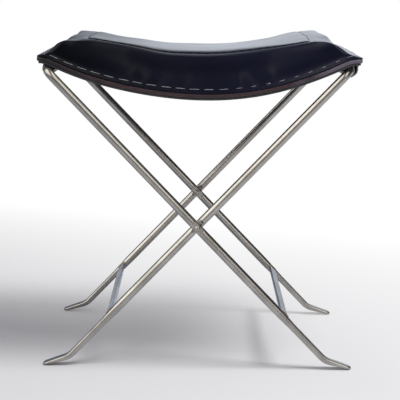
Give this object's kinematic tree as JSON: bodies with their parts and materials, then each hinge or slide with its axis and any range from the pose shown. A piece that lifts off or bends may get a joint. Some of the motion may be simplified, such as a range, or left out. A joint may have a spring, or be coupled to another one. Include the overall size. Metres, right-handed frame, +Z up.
{
  "type": "x frame stool",
  "caption": "Folding stool: two crossed steel frames riveted together, with a padded leather seat on a sling between their top rails.",
  "frame": {"origin": "on the floor under the middle of the stool, with the stool open", "axes": "+X along the seat, from frame A's rail to frame B's rail; +Y from the front to the rear, along both rails; +Z up"},
  "size_m": [0.4608, 0.3408, 0.4841],
  "materials": {
    "steel": "satin, hand rubbed",
    "cover_leather": "glossy near-black navy",
    "sling_leather": "dull black",
    "sole_leather": "black faces, burnished reddish-brown edge",
    "padding": "felted fibre padding, out of sight"
  },
  "bodies": {
    "frame_a": {"frame_a_front_leg": "steel", "frame_a_rear_leg": "steel", "frame_a_seat_rail": "steel", "frame_a_stretcher": "steel", "rivet_front": "steel", "rivet_rear": "steel", "pivot_spacer_front": "steel", "pivot_spacer_rear": "steel", "rivet_burr_front": "steel", "rivet_burr_rear": "steel"},
    "frame_b": {"frame_b_rear_leg": "steel", "frame_b_front_leg": "steel", "frame_b_seat_rail": "steel", "frame_b_stretcher": "steel"},
    "seat": {"sling": "sling_leather", "sole": "sole_leather", "padding_core": "padding", "cover_border": "cover_leather", "cover_top_panel": "cover_leather", "sling_sleeve_a": "sling_leather"},
    "sleeve_b": {"sling_sleeve_b": "sling_leather"}
  },
  "joints": [
    {"name": "fold", "type": "hinge", "parent": "frame_a", "child": "frame_b", "pos_m": [0, 0, 0.21], "axis": [0, -1, 0], "range_deg": [0, 70], "deforming": ["sling", "sole", "padding_core", "cover_border", "cover_top_panel"]},
    {"name": "seat_turn", "type": "hinge", "parent": "frame_a", "child": "seat", "pos_m": [-0.21556, 0, 0.43557], "axis": [0, -1, 0], "range_deg": [0, 35]},
    {"name": "sleeve_turn", "type": "hinge", "parent": "frame_b", "child": "sleeve_b", "pos_m": [0.21556, 0, 0.43557], "axis": [0, -1, 0], "range_deg": [-35, 0]}
  ],
  "couplings": [
    {"joint": "seat_turn", "follows": "fold", "ratio": 0.5},
    {"joint": "sleeve_turn", "follows": "fold", "ratio": -0.5}
  ]
}
